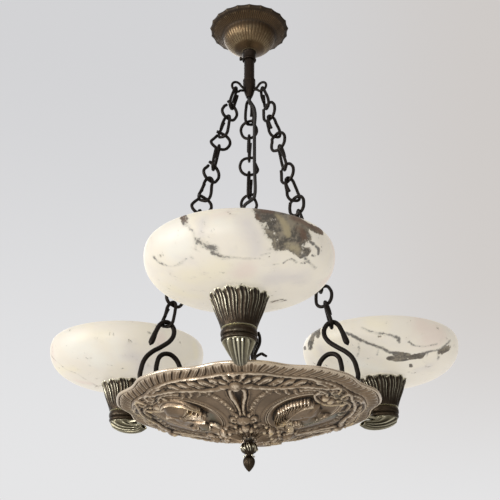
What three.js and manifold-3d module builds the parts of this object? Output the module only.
import * as THREE from 'three';
import { mergeVertices } from 'three/addons/utils/BufferGeometryUtils.js';
import Module from 'manifold-3d';

// Pendant with three alabaster bowls round a cast dish that hangs on three chains.
// Millimetres, +Z up. The origin is the centre of the ceiling plate's top face, and -Y is the front.

// Fits
const gap = 0.3;
const overrun = 1;
const fuseDepth = 0.5;

// Places round the axis, in degrees from the front
const frontAngle = 0;
const thirdTurn = 120;
const halfTurn = 180;
const quarterTurn = 90;
const dishTurn = -3;

// Ceiling plate and hook
const plateRadius = 40;
const plateThickness = 2.5;
const plateHoleRadius = 2.6;
const plateHoleReach = 28;
const hookFootRadius = 7;
const hookFootThickness = 2.5;
const hangerWire = 2;
const hookLoop = 7;
const shackleLoop = 7;
const rodEyeLoop = 6.5;

// Rod and its boss
const rodRadius = 9;
const rodBore = 5.5;
const rodFlangeThickness = 2;
const rodPlugLength = 5;
const rodBottomDepth = 122;
const rodSocketDepth = 6;
const bossRadius = 10.8;
const bossTipRadius = 4.9;
const bossHeight = 36;
const cableEntryDrop = 9.5;
const cableEntryEase = 2;

// Chain eyes in the boss
const eyeWire = 2.2;
const eyeLoop = 8.8;
const eyeReach = 24.5;
const eyeDrop = 22;

// Canopy, collar and set screw
const canopyRadius = 67.8;
const canopyTopDepth = 6;
const canopyHeight = 51;
const canopyWall = 1.2;
const scallopCount = 20;
const scallopDepth = 1.2;
const scallopFade = 9;
const collarRadius = 12.3;
const collarHeight = 18;
const screwRadius = 1.9;
const screwHeadRadius = 3.3;
const screwHeadLength = 4.5;
const screwDrop = 13.5;

// Chains
const linkWire = 2.4;
const chainEndGap = 0.7;
const ringWidth = 36;
const ringInside = 25;
const narrowLength = 36;
const narrowWidth = 24;

// S-hooks
const sHookWire = 3.5;
const sHookHeight = 106;
const sHookTipWidth = 4.6;
const sHookTipThickness = 3.9;
const sHookTipLength = 9;

// Dish
const dishRadius = 190.5;
const dishRimDepth = 693;
const dishDepth = 48;
const dishWall = 2.5;
const dishCurve = 1.1;
const rimBead = 2.6;
const lobeCount = 9;
const lobeDepth = 4;
const lobeFade = 4;
const medallionReachShare = 0.5;
const medallionRadius = 57;
const medallionBead = 4;
const headLength = 37;
const headWidth = 27;
const headHeight = 8;
const shellReachShare = 0.766;
const shellLength = 27;
const shellWidth = 33;
const shellHeight = 5;
const knobRadius = 9.5;
const knobHeight = 9;
const knobReachShares = [0.577, 0.325];
const rosetteRadius = 26;
const rosetteHeight = 5;

// Carrier frame, stud, nut and spacer
const carrierInset = 45.5;
const carrierAboveRim = 4.8;
const carrierBar = 4;
const spokeWidth = 16;
const spokeThickness = 4;
const spokeOut = 27;
const seatMargin = 1.5;
const hubRadius = 15;
const hubDrop = 1.5;
const studRadius = 5;
const studTopLength = 9;
const studEngagement = 16;
const nutRadius = 9;
const nutHeight = 7;
const spacerRadius = 8.5;

// Finial
const finialLength = 45.7;
const finialRadius = 13.5;
const finialLeaves = 6;
const finialLeafDepth = 1.6;

// Arms
const armRun = 42.5;
const armTopRadius = 21;
const armAboveTongue = 0.4;
const tongueClearance = 2;
const armRimClearance = 2;
const armDrop = 19.7;
const tongueThickness = 4;
const tongueWidth = 16;
const tongueShort = 15;
const boltOut = 17;
const boltRadius = 3;
const boltHeadRadius = 5.5;
const boltHeadHeight = 4;

// Moulded ring and leaf cup
const mouldingRadius = 23.6;
const mouldingHeight = 17;
const cupBottomRadius = 23.3;
const cupTopRadius = 36.5;
const cupHeight = 46;
const cupWall = 2.3;
const cupFloor = 2.6;
const cupFlutes = 10;
const cupFluteDepth = 1;
const nippleRadius = 5;
const nippleBelow = 5;
const nippleAbove = 11;

// Lampholder, shade ring and bulb
const holderRadius = 17;
const holderBodyHeight = 43;
const holderFlangeRadius = 27;
const holderFlangeThickness = 3;
const holderNeckRadius = 19.75;
const holderNeckHeight = 19.5;
const holderSocketDepth = 30;
const shadeRingRadius = 27.5;
const shadeRingHeight = 5;
const bulbBaseRadius = 12.7;
const bulbRadius = 17.5;
const bulbLength = 97;
const bulbBaseLength = 30;

// Bowl
const bowlRadius = 125;
const bowlRimRadius = 122.5;
const bowlHeight = 60.5;
const bowlWidestHeight = 51;
const bowlFootRadius = 33.5;
const bowlWall = 7;
const bowlHoleClearance = 1.25;
const bowlSquareness = 2.4;

// Cables and blocks
const cableRadius = 3;
const cableAside = 9;
const cableInside = 8;
const leadRadius = 1.9;
const leadAside = 8;
const leadRoom = 0.8;
const blockLength = 22;
const blockWidth = 10;
const blockHeight = 14;
const blockReach = 21;
const blockRise = 15.3;
const junctionLength = 28;
const junctionWidth = 16;
const junctionHeight = 14;
const junctionReach = 50;

// Facets
const linkSides = 4;
const wireSides = 5;
const hookSides = 6;
const cableSides = 8;
const smallSides = 10;
const mediumSides = 12;
const bowlSides = 24;
const sweepSteps = 4;

const wasm = await Module();
wasm.setup();

const bronze = new THREE.MeshStandardMaterial({ color: 0x6b5a4c, roughness: 0.5, metalness: 0.9 });
const cupBronze = new THREE.MeshStandardMaterial({ color: 0x5a5038, roughness: 0.5, metalness: 0.9 });
const iron = new THREE.MeshStandardMaterial({ color: 0x241e19, roughness: 0.6, metalness: 0.8 });
const darkBrass = new THREE.MeshStandardMaterial({ color: 0x4a3a28, roughness: 0.5, metalness: 0.9 });
const steel = new THREE.MeshStandardMaterial({ color: 0x8a8a88, roughness: 0.4, metalness: 1 });
const alabaster = new THREE.MeshStandardMaterial({ color: 0xe9e2d2, roughness: 0.4, metalness: 0 });
const porcelain = new THREE.MeshStandardMaterial({ color: 0xe6e3da, roughness: 0.3, metalness: 0 });
const cableSkin = new THREE.MeshStandardMaterial({ color: 0x1a1512, roughness: 0.9, metalness: 0 });
const bulbGlass = new THREE.MeshStandardMaterial({ color: 0xf2ead8, roughness: 0.3, metalness: 0 });

const radians = THREE.MathUtils.degToRad;
const up = new THREE.Vector3(0, 0, 1);

// Keep positions only, merge shared vertices, drop slivers and face the triangles outward.
function closed(geometry) {
  const bare = new THREE.BufferGeometry();
  bare.setAttribute('position', geometry.getAttribute('position'));
  if (geometry.index) bare.setIndex(geometry.index);
  const merged = mergeVertices(bare);
  const from = merged.index.array;
  const kept = [];
  for (let i = 0; i < from.length; i += 3) {
    const [a, b, c] = [from[i], from[i + 1], from[i + 2]];
    if (a !== b && b !== c && c !== a) kept.push(a, b, c);
  }
  const position = merged.getAttribute('position');
  const corner = [new THREE.Vector3(), new THREE.Vector3(), new THREE.Vector3()];
  let volume = 0;
  for (let i = 0; i < kept.length; i += 3) {
    corner.forEach((point, j) => point.fromBufferAttribute(position, kept[i + j]));
    volume += corner[0].dot(corner[1].cross(corner[2]));
  }
  if (volume < 0) kept.reverse();
  merged.setIndex(kept);
  return merged;
}

function solid(geometry) {
  const tidy = closed(geometry);
  const vertProperties = new Float32Array(tidy.getAttribute('position').array);
  const triVerts = new Uint32Array(tidy.index.array);
  return new wasm.Manifold(new wasm.Mesh({ numProp: 3, vertProperties, triVerts }));
}

function surface(body) {
  const mesh = body.getMesh();
  const geometry = new THREE.BufferGeometry();
  geometry.setAttribute('position', new THREE.BufferAttribute(mesh.vertProperties, mesh.numProp));
  geometry.setIndex(new THREE.BufferAttribute(mesh.triVerts, 1));
  return geometry;
}

function joined(...geometries) {
  return surface(geometries.map(solid).reduce((whole, next) => whole.add(next)));
}

function cut(geometry, ...tools) {
  return surface(tools.map(solid).reduce((whole, tool) => whole.subtract(tool), solid(geometry)));
}

// A profile of [radius, height] points turned round Z. It is closed on itself, or ends on the axis.
function turned(points, sides) {
  const profile = points.map(([radius, height]) => new THREE.Vector2(radius, height));
  const first = profile[0];
  const last = profile[profile.length - 1];
  if (first.x > 0 || last.x > 0) profile.push(first.clone());
  return new THREE.LatheGeometry(profile, sides).rotateX(Math.PI / 2);
}

// The same outline moved sideways by a distance, to the left of its direction.
function offset(points, distance) {
  return points.map(([radius, height], i) => {
    const before = points[Math.max(i - 1, 0)];
    const after = points[Math.min(i + 1, points.length - 1)];
    const along = new THREE.Vector2(after[0] - before[0], after[1] - before[1]).normalize();
    return [radius - along.y * distance, height + along.x * distance];
  });
}

function shaped(geometry, change) {
  const position = geometry.getAttribute('position');
  const point = new THREE.Vector3();
  for (let i = 0; i < position.count; i += 1) {
    point.fromBufferAttribute(position, i);
    change(point);
    position.setXYZ(i, point.x, point.y, point.z);
  }
  return geometry;
}

// Moves a point outward by a wave that runs round the axis a number of times, with a crest at the front.
function rippled(point, height, waves) {
  const radius = Math.hypot(point.x, point.y);
  const swell = 1 + (height / radius) * Math.cos(waves * Math.atan2(point.x, -point.y));
  point.x *= swell;
  point.y *= swell;
}

function roundShape(radius, sides) {
  const corners = [];
  for (let i = 0; i < sides; i += 1) {
    const angle = (2 * Math.PI * i) / sides;
    corners.push(new THREE.Vector2(radius * Math.cos(angle), radius * Math.sin(angle)));
  }
  return new THREE.Shape(corners);
}

// A smooth path whose steps fall exactly on its points.
class Route extends THREE.CatmullRomCurve3 {
  getUtoTmapping(u) {
    return u;
  }
}

function tube(points, radius, sides) {
  const extrudePath = new Route(points);
  const steps = points.length - 1;
  return new THREE.ExtrudeGeometry(roundShape(radius, sides), { steps, extrudePath, bevelEnabled: false });
}

// A round bar or bore along Z between two heights.
function bar(radius, low, high, sides = smallSides) {
  const length = high - low;
  return new THREE.CylinderGeometry(radius, radius, length, sides).rotateX(Math.PI / 2)
    .translate(0, 0, low + length / 2);
}

// A round bar along the radial X axis.
function radialBar(radius, inner, outer, height, sides = smallSides) {
  return bar(radius, inner, outer, sides).rotateY(Math.PI / 2).translate(0, 0, height);
}

// A block given by its inner and outer reach along X, its width and its lowest and highest Z.
function block(inner, outer, width, low, high) {
  return new THREE.BoxGeometry(outer - inner, width, high - low)
    .translate((inner + outer) / 2, 0, (low + high) / 2);
}

// A bore whose flats, not corners, clear a round piece.
function boreFor(radius, sides) {
  return (radius + gap) / Math.cos(Math.PI / sides);
}

const pendant = new THREE.Group();

function piece(name, geometry, material, parent = pendant) {
  const mesh = new THREE.Mesh(closed(geometry), material);
  mesh.name = name;
  parent.add(mesh);
  return mesh;
}

// A group whose X axis points outward at an angle from the front.
function station(angle, parent = pendant) {
  const group = new THREE.Group();
  group.rotation.z = radians(angle - quarterTurn);
  parent.add(group);
  return group;
}

// Ceiling plate: the screw holes lie left and right of the hook
const plateHole = boreFor(plateHoleRadius, smallSides);
const plateHoles = [-1, 1].map((side) => bar(plateHole, -plateThickness - overrun, overrun)
  .translate(side * plateHoleReach, 0, 0));
piece('ceiling_plate', cut(bar(plateRadius, -plateThickness, 0, 2 * mediumSides), ...plateHoles), steel);

// Hook, shackle and rod eye hang in each other, a quarter turn apart
const hookFootTop = -plateThickness - gap;
const hookFootBottom = hookFootTop - hookFootThickness;
const hookCentre = hookFootBottom - hookLoop;
const hookBottom = hookCentre - hookLoop;
const loopSeat = 2 * hangerWire + gap;
const shackleCentre = hookBottom + loopSeat - shackleLoop;
const shackleBottom = shackleCentre - shackleLoop;
const rodEyeCentre = shackleBottom + loopSeat - rodEyeLoop;
const rodFlangeTop = rodEyeCentre - rodEyeLoop;
const rodTop = rodFlangeTop - rodFlangeThickness;

function uprightLoop(loop, wire, centre) {
  return new THREE.TorusGeometry(loop, wire, wireSides, mediumSides).rotateX(Math.PI / 2)
    .translate(0, 0, centre);
}

piece('ceiling_hook', joined(
  bar(hookFootRadius, hookFootBottom, hookFootTop),
  uprightLoop(hookLoop, hangerWire, hookCentre),
), steel);
piece('hanging_shackle', uprightLoop(shackleLoop, hangerWire, shackleCentre).rotateZ(Math.PI / 2), steel);
piece('rod_top_eye', joined(
  uprightLoop(rodEyeLoop, hangerWire, rodEyeCentre),
  bar(rodRadius, rodTop + gap, rodFlangeTop),
  bar(rodBore - gap, rodTop - rodPlugLength, rodTop + gap + fuseDepth),
), steel);

// Rod with a side hole for the cable under the eye's plug
const cableEntry = rodTop - cableEntryDrop;
const rodBottom = -rodBottomDepth;
const rodTube = turned([
  [boreFor(rodBore - gap, mediumSides), rodBottom], [rodRadius, rodBottom],
  [rodRadius, rodTop], [boreFor(rodBore - gap, mediumSides), rodTop],
], mediumSides);
const sideHoleRadius = boreFor(cableRadius + cableEntryEase, smallSides);
const sideHole = radialBar(sideHoleRadius, 0, rodRadius + overrun, cableEntry).rotateZ(Math.PI / 2);
piece('hanging_rod', cut(rodTube, sideHole), darkBrass);

// Boss: socket for the rod above, hole for the cable below, three holes for the eyes
const bossTop = rodBottom + rodSocketDepth;
const bossBottom = bossTop - bossHeight;
const eyeDepth = eyeDrop - bossTop;
const cableBore = boreFor(cableRadius, mediumSides);
const socketRadius = boreFor(rodRadius, mediumSides);
const bossOutlineShares = [[1, 0], [1, 0.36], [0.8, 0.68]];
const bossBody = turned([
  [cableBore, bossBottom], [cableBore, rodBottom - gap],
  [socketRadius, rodBottom - gap], [socketRadius, bossTop],
  ...bossOutlineShares.map(([radius, drop]) => [bossRadius * radius, bossTop - bossHeight * drop]),
  [bossTipRadius, bossBottom],
], mediumSides);
const chainAngles = {
  right: frontAngle + thirdTurn / 2,
  back: frontAngle + halfTurn,
  left: frontAngle - thirdTurn / 2,
};
const eyeHoles = Object.values(chainAngles).map((angle) => radialBar(
  boreFor(eyeWire, smallSides), 0, bossRadius + overrun, -eyeDepth,
).rotateZ(radians(angle - quarterTurn)));
piece('rod_boss', cut(bossBody, ...eyeHoles), darkBrass);

// Chain: narrow links lie across the radial plane, broad rings lie in it
const carrierCentre = carrierAboveRim - dishRimDepth;
const carrierRadius = dishRadius - carrierInset;
const boltReach = carrierRadius + boltOut;
const spokeReach = carrierRadius + spokeOut;
const cupReach = dishRadius + lobeDepth + armRimClearance + armRun;
const tongueEnd = cupReach - tongueShort;
const sHookBottom = carrierCentre - carrierBar - gap - sHookWire;
const sHookApexDepth = -sHookBottom - sHookHeight;
const sHookCurlShare = 0.066;
const sHookApexReach = carrierRadius - sHookCurlShare * sHookHeight;
const eyeSeat = eyeLoop - eyeWire;
const eyeSeatShares = [0.24, 0.97];
const chainTopReach = eyeReach + eyeSeat * eyeSeatShares[0];
const chainTopDepth = eyeDepth + eyeSeat * eyeSeatShares[1];
const chainBottomReach = sHookApexReach;
const chainBottomDepth = sHookApexDepth + sHookWire;
const chainLength = Math.hypot(chainBottomReach - chainTopReach, chainBottomDepth - chainTopDepth);
const chainSlope = Math.atan2(chainBottomReach - chainTopReach, chainBottomDepth - chainTopDepth);
const ringCount = Math.round((chainLength - narrowLength) / (narrowLength + ringInside));
// The links were bent by hand, so the narrow ones differ in length down the chain.
const narrowLengthShares = [0.98, 1.05, 1.05, 1.05, 0.8, 0.8, 0.8, 0.93];
const narrowShares = Array.from({ length: ringCount + 1 }, (_, i) => (
  narrowLengthShares[Math.floor((i * narrowLengthShares.length) / (ringCount + 1))]
));
const narrowShareSum = narrowShares.reduce((sum, share) => sum + share);
const narrowTotal = chainLength + 2 * chainEndGap - ringCount * ringInside;

// Centreline of a broad ring, in shares of its half width and half height.
const ringOutlineShares = [
  [-0.92, 0.5], [-0.6, 0.88], [0, 1], [0.6, 0.88], [1, 0.2], [0.8, -0.62], [0, -1], [-0.7, -0.76],
  [-1, -0.05], [-0.95, 0.42],
];
// Centreline of a narrow link, in shares of its half width and of its height from the top.
const narrowOutlineShares = [
  [-0.82, 0.54], [-0.64, 0.14], [-0.38, 0.02], [0, 0], [0.38, 0.02], [0.64, 0.14], [1, 0.84], [0.62, 0.98],
  [0, 1], [-0.62, 0.98], [-1, 0.84], [-0.84, 0.57],
];
// Corner radius of a four-sided wire, as a share of the round wire's radius.
const linkSquareShare = 1.12;

function broadRing(top) {
  const halfWidth = ringWidth / 2 - linkWire;
  const halfHeight = ringInside / 2 + linkWire;
  const middle = top - ringInside / 2;
  const points = ringOutlineShares.map(([x, z]) => (
    new THREE.Vector3(x * halfWidth, 0, middle + z * halfHeight)
  ));
  return tube(points, linkWire * linkSquareShare, linkSides);
}

function narrowLink(top, inside) {
  const halfWidth = narrowWidth / 2 - linkWire;
  const points = narrowOutlineShares.map(([y, drop]) => new THREE.Vector3(
    0, y * halfWidth, top + linkWire - drop * (inside + 2 * linkWire),
  ));
  return tube(points, linkWire * linkSquareShare, linkSides);
}

const narrowLengths = narrowShares.map((share) => (narrowTotal * share) / narrowShareSum);

// Distance down the chain to the top of a narrow link's opening.
function narrowStart(index) {
  return narrowLengths.slice(0, index).reduce((sum, length) => sum + length + ringInside, -chainEndGap);
}

function ringStart(index) {
  return narrowStart(index) + narrowLengths[index];
}

function chain() {
  const links = [];
  narrowLengths.forEach((length, i) => {
    const over = i > 0 ? fuseDepth : 0;
    const under = i < ringCount ? fuseDepth : 0;
    links.push(narrowLink(-over - narrowStart(i), length - over - under));
    if (i < ringCount) links.push(broadRing(-ringStart(i)));
  });
  return joined(...links);
}

const eye = joined(
  uprightLoop(eyeLoop, eyeWire, 0).translate(eyeReach, 0, -eyeDepth),
  radialBar(eyeWire, cableBore + gap, eyeReach - eyeLoop, -eyeDepth),
);

// S-hook centreline from the upper tip, in shares of its height out from the top of its upper curl and down
const sHookOutlineShares = [
  [0.208, 0.302], [0.151, 0.151], [0.085, 0.038], [0, 0], [-0.09, 0.05], [-0.115, 0.135], [-0.075, 0.24],
  [0.066, 0.368], [0.208, 0.472], [0.302, 0.585], [0.349, 0.736], [0.358, 0.85], [0.302, 0.943],
  [0.198, 0.988], [sHookCurlShare, 1], [-0.066, 0.988], [-0.19, 0.887], [-0.236, 0.736], [-0.208, 0.585],
  [-0.123, 0.481], [-0.028, 0.453], [0.075, 0.5], [0.123, 0.623], [0.132, 0.774],
];
const sHookPoints = sHookOutlineShares.map(([out, down]) => new THREE.Vector3(
  sHookApexReach + out * sHookHeight, 0, -sHookApexDepth - down * sHookHeight,
));
const sHookTip = new THREE.SphereGeometry(1, hookSides, hookSides)
  .scale(sHookTipThickness, sHookTipWidth, sHookTipLength)
  .rotateY(Math.atan2(sHookPoints[1].x - sHookPoints[0].x, sHookPoints[1].z - sHookPoints[0].z))
  .translate(sHookPoints[0].x, 0, sHookPoints[0].z);
const sHook = joined(tube(sHookPoints, sHookWire, wireSides), sHookTip);

Object.entries(chainAngles).forEach(([side, angle]) => {
  const place = station(angle);
  piece(`chain_eye_${side}`, eye, darkBrass, place);
  const links = piece(`chain_${side}`, chain(), iron, place);
  links.position.set(chainTopReach, 0, -chainTopDepth);
  links.rotation.y = -chainSlope;
  piece(`s_hook_${side}`, sHook, iron, place);
});

// Canopy: scalloped rim, step and dome, with a wall of even thickness
const canopyOutlineShares = [
  [0.96, 0], [1, 0.05], [0.93, 0.17], [0.686, 0.324], [0.642, 0.53], [0.45, 0.83], [0.18, 1],
];
const canopySides = 2 * scallopCount;
const canopyOuter = canopyOutlineShares.map(([radius, drop]) => [
  radius * canopyRadius, -canopyTopDepth - drop * canopyHeight,
]);
const canopyBottom = -canopyTopDepth - canopyHeight;
const canopyHole = boreFor(rodRadius, canopySides);
canopyOuter.push([canopyHole, canopyBottom]);
const canopyInner = offset(canopyOuter, -canopyWall).slice(2).reverse();
canopyInner[0][0] = canopyHole;
canopyInner.push([canopyOuter[0][0] - canopyWall, -canopyTopDepth]);

function scalloped(point) {
  const reach = (Math.hypot(point.x, point.y) / canopyRadius) ** scallopFade;
  rippled(point, scallopDepth * reach, scallopCount);
}

piece('canopy', shaped(turned([...canopyOuter, ...canopyInner], canopySides), scalloped), darkBrass);

const collarTop = canopyBottom - gap;
const collarBottom = collarTop - collarHeight;
const screwHeight = collarTop - screwDrop;
const collarBore = boreFor(rodRadius, mediumSides);
const screwPlace = station(frontAngle - quarterTurn);
piece('canopy_collar', cut(
  turned([
    [collarBore, collarBottom], [collarRadius, collarBottom],
    [collarRadius, collarTop], [collarBore, collarTop],
  ], mediumSides),
  radialBar(boreFor(screwRadius, smallSides), 0, collarRadius + overrun, screwHeight),
), darkBrass, screwPlace);
piece('canopy_screw', joined(
  radialBar(screwRadius, rodRadius + gap, collarRadius + screwHeadLength / 2, screwHeight),
  radialBar(screwHeadRadius, collarRadius + gap, collarRadius + gap + screwHeadLength, screwHeight),
), darkBrass, screwPlace);

// Dish: a shallow cone with a wavy beaded rim, turned a little from the chains
const dishGroup = new THREE.Group();
dishGroup.rotation.z = radians(dishTurn);
pendant.add(dishGroup);
const armAngles = { front: frontAngle, right: frontAngle + thirdTurn, left: frontAngle - thirdTurn };

function underside(radius) {
  return -dishRimDepth - dishDepth * (1 - (radius / dishRadius) ** dishCurve);
}

function lobed(point) {
  const reach = (Math.hypot(point.x, point.y) / dishRadius) ** lobeFade;
  rippled(point, lobeDepth * reach, lobeCount);
}

// Lay a raised form on the underside at an angle, with its back flattened into the wall.
const sunkShare = 0.2;
function laid(geometry, angle) {
  return shaped(geometry.rotateZ(radians(angle - quarterTurn)), (point) => {
    const proud = point.z > 0 ? point.z * sunkShare : point.z;
    point.z = proud + underside(Math.hypot(point.x, point.y));
  });
}

function mound(reach, length, width, height) {
  return new THREE.SphereGeometry(1, hookSides, linkSides).rotateX(Math.PI / 2)
    .scale(length, width, height).translate(reach, 0, 0);
}

const sidesPerLobe = 4;
const dishSides = sidesPerLobe * lobeCount;
const studBore = boreFor(studRadius, mediumSides);
const seatRadius = spacerRadius + seatMargin;
const undersideShares = [0.2, 0.4, 0.6, 0.8, 0.95];
const insideShares = [0.94, 0.6, 0.3];
const beadShares = [[0, -0.7], [0.2, 0.3], [-1, 1]];
const dishSeat = underside(seatRadius) + dishWall;
const dishShell = shaped(turned([
  [studBore, underside(studBore)],
  ...undersideShares.map((share) => [share * dishRadius, underside(share * dishRadius)]),
  ...beadShares.map(([out, rise]) => [dishRadius + out * rimBead, rise * rimBead - dishRimDepth]),
  ...insideShares.map((share) => [share * dishRadius, underside(share * dishRadius) + dishWall]),
  [seatRadius, dishSeat], [studBore, dishSeat],
], dishSides), lobed);
const medallionReach = medallionReachShare * dishRadius;
const shellReach = shellReachShare * dishRadius;
const dishForms = [];
Object.values(chainAngles).forEach((angle) => {
  const frame = new THREE.TorusGeometry(medallionRadius, medallionBead, linkSides, 2 * smallSides);
  dishForms.push(laid(frame.translate(medallionReach, 0, 0), angle));
  dishForms.push(laid(mound(medallionReach, headLength, headWidth, headHeight), angle));
});
Object.values(armAngles).forEach((angle) => {
  dishForms.push(laid(mound(shellReach, shellLength, shellWidth, shellHeight), angle));
  knobReachShares.forEach((share) => {
    dishForms.push(laid(mound(share * dishRadius, knobRadius, knobRadius, knobHeight), angle));
  });
});
dishForms.push(laid(mound(0, rosetteRadius, rosetteRadius, rosetteHeight), frontAngle));
const rosetteBottom = underside(0) - rosetteHeight;
piece('dish', cut(
  joined(dishShell, ...dishForms),
  bar(studBore, rosetteBottom - overrun, dishSeat + overrun, mediumSides),
), bronze, dishGroup);

// Carrier frame: ring for the hooks, spokes with a pad for each arm, hub for the stud
const spokeTop = carrierCentre - gap;
const spokeBottom = spokeTop - spokeThickness;
const hubBottom = spokeBottom - hubDrop;
const spokes = [];
const boltHoles = [];
const boltHole = boreFor(boltRadius, smallSides);
Object.values(armAngles).forEach((angle) => {
  spokes.push(block(0, spokeReach, spokeWidth, spokeBottom, spokeTop).rotateZ(radians(angle - quarterTurn)));
  boltHoles.push(bar(boltHole, spokeBottom - overrun, spokeTop + overrun)
    .translate(boltReach, 0, 0).rotateZ(radians(angle - quarterTurn)));
});
piece('carrier_frame', cut(
  joined(
    new THREE.TorusGeometry(carrierRadius, carrierBar, hookSides, bowlSides).translate(0, 0, carrierCentre),
    bar(hubRadius, hubBottom, spokeTop, mediumSides),
    ...spokes,
  ),
  bar(boreFor(studRadius, smallSides), hubBottom - overrun, spokeTop + overrun),
  ...boltHoles,
), iron, dishGroup);
const finialTop = rosetteBottom - gap;
const studTop = spokeTop + studTopLength;
piece('finial_stud', bar(studRadius, finialTop - studEngagement, studTop), steel, dishGroup);
const nutBore = boreFor(studRadius, smallSides);
piece('stud_nut', cut(
  bar(nutRadius, spokeTop + gap, spokeTop + gap + nutHeight, hookSides),
  bar(nutBore, spokeTop, spokeTop + nutHeight + overrun),
), steel, dishGroup);
piece('spacer_tube', turned([
  [nutBore, dishSeat + gap], [spacerRadius, dishSeat + gap],
  [spacerRadius, hubBottom - gap], [nutBore, hubBottom - gap],
], smallSides), steel, dishGroup);

// Finial: a cluster of leaves over a bud
const finialOutlineShares = [
  [0.6, 0], [0.92, 0.12], [1, 0.28], [0.68, 0.45], [0.4, 0.53], [0.6, 0.65], [0.52, 0.83], [0, 1],
];
const finialBore = finialTop - studEngagement - overrun;
const finial = shaped(turned([
  [0, finialBore], [nutBore, finialBore], [nutBore, finialTop],
  ...finialOutlineShares.map(([radius, drop]) => [radius * finialRadius, finialTop - drop * finialLength]),
], smallSides), (point) => {
  if (Math.hypot(point.x, point.y) < finialRadius * finialOutlineShares[1][0]) return;
  rippled(point, finialLeafDepth, finialLeaves);
});
piece('finial', finial, bronze, dishGroup);

// Heights of what stands on each arm
const tongueBottom = carrierCentre;
const tongueTop = tongueBottom + tongueThickness;
const armTop = tongueTop + armAboveTongue;
const mouldingBottom = armTop + gap;
const mouldingTop = mouldingBottom + mouldingHeight;
const cupBottom = mouldingTop + gap;
const cupTop = cupBottom + cupHeight;
const holderBottom = cupBottom + cupFloor + gap;
const nippleTop = holderBottom + nippleAbove;
const nippleBottom = armTop - nippleBelow;
const holderFlangeTop = holderBottom + holderBodyHeight + holderFlangeThickness;
const holderTop = holderFlangeTop + holderNeckHeight;
const bowlBottom = holderFlangeTop + gap;
const socketFloor = holderTop - holderSocketDepth;

// Leads: from each lampholder down its nipple, through the arm, over the tongue and into the junction block
const leadHeight = tongueTop + leadRadius + 2 * gap;
const junctionBottom = spokeTop + gap;
const portHeight = junctionBottom + junctionHeight / 2;
// Shares of the arm's run inward, of its drop down and of the leads' distance aside.
const leadArmShares = [
  [0.01, 0.3, 0], [0.08, 0.47, 0], [0.19, 0.5, 0], [0.33, 0.4, 0], [0.52, 0.12, 0], [0.7, -0.06, 0.1],
];
// Shares of the junction block's reach, forward and aside.
const leadEndShares = [[-0.32, 1.92], [0.7, 0.96]];

function leadPoints(angle) {
  const side = angle > frontAngle ? -1 : 1;
  const local = [
    [cupReach, 0, nippleTop], [cupReach, 0, nippleBottom - gap],
    ...leadArmShares.map(([inward, down, aside]) => [
      cupReach - inward * armRun, side * aside * leadAside, armTop - down * armDrop,
    ]),
    ...[dishRadius, boltReach, carrierRadius - 2 * carrierBar].map((x) => [x, side * leadAside, leadHeight]),
  ].map(([x, y, z]) => new THREE.Vector3(x, y, z).applyAxisAngle(up, radians(angle)));
  const halfWidth = junctionWidth / 2 + gap;
  const front = junctionReach + junctionLength / 2 + gap;
  const last = angle === frontAngle
    ? [[front + junctionLength, 0], [front + leadAside, 0], [front, 0]]
    : [
      ...leadEndShares.map(([ahead, aside]) => [ahead * junctionReach, aside * junctionReach]),
      [junctionReach, halfWidth + leadAside], [junctionReach, halfWidth],
    ].map(([x, y]) => [x, -side * y]);
  return [...local, ...last.map(([x, y]) => new THREE.Vector3(x, y, portHeight))];
}

// Arm: a hollow-horn leaf from a round top down and in to the rim, and a tongue bolted to the carrier frame
const armSectionShares = [
  [-0.506, 0.137, 0.4, 0.34, 0.88], [-0.565, 0.264, 0.047, 0.72, 0.67], [-0.73, 0.33, -0.4, 0.975, 0.5],
  [-0.894, 0.39, -0.776, 1, 0.43], [-0.984, 0.49, -1, 0.82, 0.36],
];

function armHorn() {
  const sections = [
    {
      upper: [cupReach - armTopRadius, armTop],
      lower: [cupReach + armTopRadius, armTop],
      half: armTopRadius,
    },
    ...armSectionShares.map(([upperOut, upperDown, lowerOut, lowerDown, width]) => ({
      upper: [cupReach + upperOut * armRun, armTop - upperDown * armDrop],
      lower: [cupReach + lowerOut * armRun, armTop - lowerDown * armDrop],
      half: width * armTopRadius,
    })),
  ];
  const horn = new THREE.CylinderGeometry(1, 1, sections.length - 1, smallSides, sections.length - 1);
  const topY = (sections.length - 1) / 2;
  return shaped(horn, (point) => {
    const { upper, lower, half } = sections[Math.round(topY - point.y)];
    const along = (point.x + 1) / 2;
    const across = point.z * half;
    point.set(
      upper[0] + (lower[0] - upper[0]) * along, across, upper[1] + (lower[1] - upper[1]) * along,
    );
  });
}

// Leaf cup and moulded ring outlines
const cupOutlineShares = [[0, 0], [0.36, 0.34], [0.78, 0.7], [1, 1]];
const cupSides = 2 * cupFlutes;
const cupHole = boreFor(nippleRadius, cupSides);
const cupOuter = cupOutlineShares.map(([out, rise]) => [
  cupBottomRadius + out * (cupTopRadius - cupBottomRadius), cupBottom + rise * cupHeight,
]);
const cupInner = offset(cupOuter, cupWall).slice(1).reverse();
cupInner[0][1] = cupTop;

function fluted(point) {
  if (Math.hypot(point.x, point.y) < cupBottomRadius - cupWall - cupFluteDepth) return;
  rippled(point, cupFluteDepth, cupFlutes);
}

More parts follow.
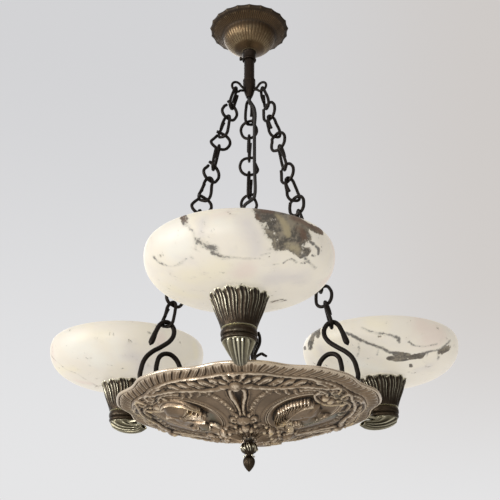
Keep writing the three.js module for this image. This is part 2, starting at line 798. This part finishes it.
const leafCup = shaped(turned([
  [cupHole, cupBottom], ...cupOuter, ...cupInner,
  [cupBottomRadius - cupWall, cupBottom + cupFloor], [cupHole, cupBottom + cupFloor],
], cupSides), fluted);
const mouldingOutlineShares = [[0.89, 0], [0.97, 0.2], [0.92, 0.38], [1, 0.55], [1, 0.85], [0.88, 1]];
const ringBore = boreFor(nippleRadius, mediumSides);
const moulding = turned([
  [ringBore, mouldingBottom],
  ...mouldingOutlineShares.map(([radius, rise]) => [
    radius * mouldingRadius, mouldingBottom + rise * mouldingHeight,
  ]),
  [ringBore, mouldingTop],
], mediumSides);
const nippleBore = boreFor(leadRadius + leadRoom, smallSides);
const nipple = turned([
  [nippleBore, nippleBottom], [nippleRadius, nippleBottom],
  [nippleRadius, nippleTop], [nippleBore, nippleTop],
], smallSides);

const socketBore = boreFor(bulbBaseRadius, mediumSides);
const holder = turned([
  [0, nippleTop + gap], [ringBore, nippleTop + gap], [ringBore, holderBottom], [holderRadius, holderBottom],
  [holderRadius, holderBottom + holderBodyHeight], [holderFlangeRadius, holderBottom + holderBodyHeight],
  [holderFlangeRadius, holderFlangeTop], [holderNeckRadius, holderFlangeTop], [holderNeckRadius, holderTop],
  [socketBore, holderTop], [socketBore, socketFloor], [0, socketFloor],
], mediumSides);

// Bowl: flat foot, squared-off sweep to the widest circle, rim turned a little inward
const bowlHole = holderNeckRadius + bowlHoleClearance;
const bowlOuter = [[bowlHole, bowlBottom]];
for (let i = 0; i <= sweepSteps; i += 1) {
  const angle = (Math.PI / 2) * (i / sweepSteps);
  bowlOuter.push([
    bowlFootRadius + (bowlRadius - bowlFootRadius) * Math.sin(angle) ** (2 / bowlSquareness),
    bowlBottom + bowlWidestHeight * (1 - Math.cos(angle) ** (2 / bowlSquareness)),
  ]);
}
bowlOuter.push([bowlRimRadius, bowlBottom + bowlHeight]);
const bowlInner = offset(bowlOuter, bowlWall).reverse();
bowlInner[0][1] = bowlBottom + bowlHeight;
const bowl = turned([...bowlOuter, ...bowlInner], bowlSides);
const ringBottom = bowlBottom + bowlWall + gap;
const shadeBore = boreFor(holderNeckRadius, mediumSides);
const shadeRing = turned([
  [shadeBore, ringBottom], [shadeRingRadius, ringBottom],
  [shadeRingRadius, ringBottom + shadeRingHeight], [shadeBore, ringBottom + shadeRingHeight],
], mediumSides);
const bulbOutlineShares = [[0.83, 0.05], [1, 0.33], [0.97, 0.55], [0.66, 0.8], [0.26, 0.95], [0, 1]];
const bulbBottom = socketFloor + gap;
const glassBottom = bulbBottom + bulbBaseLength;
const bulb = turned([
  [0, bulbBottom], [bulbBaseRadius * bulbOutlineShares[4][0], bulbBottom],
  [bulbBaseRadius, bulbBottom + gap + holderFlangeThickness], [bulbBaseRadius, glassBottom],
  ...bulbOutlineShares.map(([radius, rise]) => [
    radius * bulbRadius, glassBottom + rise * (bulbLength - bulbBaseLength),
  ]),
], smallSides);

const tongueStart = carrierRadius + carrierBar + tongueClearance;
const tongue = block(tongueStart, tongueEnd, tongueWidth, tongueBottom, tongueTop);
const frontStation = station(frontAngle, dishGroup);
Object.entries(armAngles).forEach(([side, angle]) => {
  const place = station(angle, dishGroup);
  const route = leadPoints(angle);
  const channel = tube(route, boreFor(leadRadius, hookSides), hookSides).rotateZ(radians(-angle));
  piece(`arm_${side}`, cut(
    joined(armHorn(), tongue),
    bar(boreFor(nippleRadius, smallSides), nippleBottom - gap, armTop + overrun).translate(cupReach, 0, 0),
    bar(boltHole, tongueBottom - overrun, tongueTop + overrun).translate(boltReach, 0, 0),
    channel,
  ), bronze, place);
  piece(`arm_bolt_${side}`, joined(
    bar(boltRadius, spokeBottom, tongueTop + gap + fuseDepth),
    bar(boltHeadRadius, tongueTop + gap, tongueTop + gap + boltHeadHeight, hookSides),
  ).translate(boltReach, 0, 0), steel, place);
  piece(`lamp_lead_${side}`, tube(route, leadRadius, hookSides), cableSkin, frontStation);
  const stack = new THREE.Group();
  stack.position.x = cupReach;
  place.add(stack);
  piece(`moulded_ring_${side}`, moulding, cupBronze, stack);
  piece(`leaf_cup_${side}`, leafCup, cupBronze, stack);
  piece(`nipple_${side}`, nipple, steel, stack);
  piece(`lampholder_${side}`, holder, porcelain, stack);
  piece(`bowl_${side}`, bowl, alabaster, stack);
  piece(`shade_ring_${side}`, shadeRing, darkBrass, stack);
  piece(`bulb_${side}`, bulb, bulbGlass, stack);
});
piece('junction_block', block(
  junctionReach - junctionLength / 2, junctionReach + junctionLength / 2, junctionWidth,
  junctionBottom, junctionBottom + junctionHeight,
), porcelain, frontStation);

// Supply cable: terminal block, rod, down the inner side of the back chain, and over the hub to the junction
const blockBottom = cableEntry + blockRise;
const backStation = station(chainAngles.back);
piece('terminal_block', block(
  blockReach - blockWidth / 2, blockReach + blockWidth / 2, blockLength,
  blockBottom, blockBottom + blockHeight,
), porcelain, backStation);

function chainReach(height) {
  return chainTopReach + (-height - chainTopDepth) * Math.tan(chainSlope);
}

function ringCentre(index) {
  return -chainTopDepth - (ringStart(index) + ringInside / 2) * Math.cos(chainSlope);
}

// The cable changes sides through two of the rings.
const crossedRings = [2, 4];
const crossingShares = [[-1, 1], [-0.67, 0.5], [0, 0], [0.67, -0.5], [1, -1]];
const overHubShares = [[4, 1], [1, 0], [0, 0]];

function cableRoute() {
  const entryShares = [[1, 0.66], [0.9, 0.34], [0.62, 0.08], [0.31, 0], [0.07, -0.3], [0, -0.8], [0, -2]];
  const route = [[blockReach, 0, blockBottom - gap]];
  entryShares.forEach(([out, rise]) => route.push([blockReach * out, 0, cableEntry + blockRise * rise]));
  route.push([0, 0, rodBottom], [0, 0, bossBottom - cableRadius], [0, 0, bossBottom - 2 * cableRadius]);
  const crossCable = (from, height) => crossingShares.forEach(([across, rise]) => {
    const here = height + rise * cableAside;
    route.push([chainReach(here) - cableInside, -from * across * cableAside, here]);
  });
  let side = -1;
  route.push(
    [cableRadius, side * cableRadius, bossBottom - eyeLoop],
    [eyeLoop, side * eyeLoop, bossBottom - 2 * eyeLoop],
  );
  for (let i = 0; i < ringCount; i += 1) {
    const height = ringCentre(i);
    if (crossedRings.includes(i)) {
      crossCable(side, height);
      side = -side;
    } else {
      route.push([chainReach(height) - cableInside, side * cableAside, height]);
    }
  }
  const hookShares = [[-0.12, 0.1], [-0.15, 0.5], [-0.32, 0.76], [-0.5, 0.8]];
  hookShares.forEach(([out, down]) => route.push([
    sHookApexReach + out * sHookHeight, side * cableAside, -sHookApexDepth - down * sHookHeight,
  ]));
  const over = studTop + 2 * cableRadius;
  overHubShares.forEach(([back, aside]) => route.push([back * hubRadius, side * aside * cableRadius, over]));
  const points = route.map(([reach, aside, height]) => new THREE.Vector3(-aside, reach, height));
  const blockEnd = junctionReach - junctionLength / 2 - gap;
  const endShares = [[0.42, 0.5], [0.7, 0.08], [0.84, 0], [1, 0]];
  const forward = new THREE.Vector3(0, -1, 0).applyAxisAngle(up, radians(dishTurn));
  endShares.forEach(([along, rise]) => {
    const point = forward.clone().multiplyScalar(blockEnd * along);
    point.z = portHeight + rise * (over - portHeight);
    points.push(point);
  });
  return points;
}

piece('supply_cable', tube(cableRoute(), cableRadius, cableSides), cableSkin);

export default pendant;
